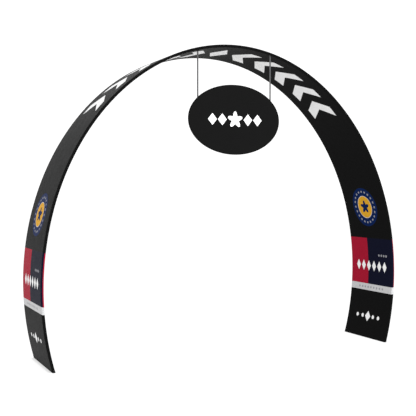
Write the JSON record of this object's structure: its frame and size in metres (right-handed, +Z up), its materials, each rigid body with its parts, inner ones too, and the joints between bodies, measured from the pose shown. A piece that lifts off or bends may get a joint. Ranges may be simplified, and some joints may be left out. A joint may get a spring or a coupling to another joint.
{
  "type": "archway banner stand with cloth sleeve and tube frame",
  "caption": "Free-standing elliptical arch of printed stretch cloth over a bent tube frame, with an oval cloth sign hanging on rods from its front rim, for people to walk through.",
  "frame": {"origin": "on the floor, midway between the two feet and midway between front and back", "axes": "+X along the span, to the right seen from the front; +Y to the back; +Z up"},
  "size_m": [3.9994, 0.8, 3.184],
  "materials": {
    "cloth": "matte printed stretch knit, black ground",
    "tube": "satin anodised",
    "rod": "satin grey"
  },
  "bodies": {
    "root": {"arch_outer_panel": "cloth", "arch_inner_panel": "cloth", "sign_front_panel": "cloth", "sign_back_panel": "cloth", "front_hoop": "tube", "back_hoop": "tube", "cross_bar_1": "tube", "cross_bar_2": "tube", "cross_bar_3": "tube", "cross_bar_4": "tube", "cross_bar_5": "tube", "cross_bar_6": "tube", "cross_bar_7": "tube", "sign_ring_left": "tube", "sign_ring_right": "tube", "left_hanger_rod": "rod", "right_hanger_rod": "rod"}
  },
  "joints": []
}
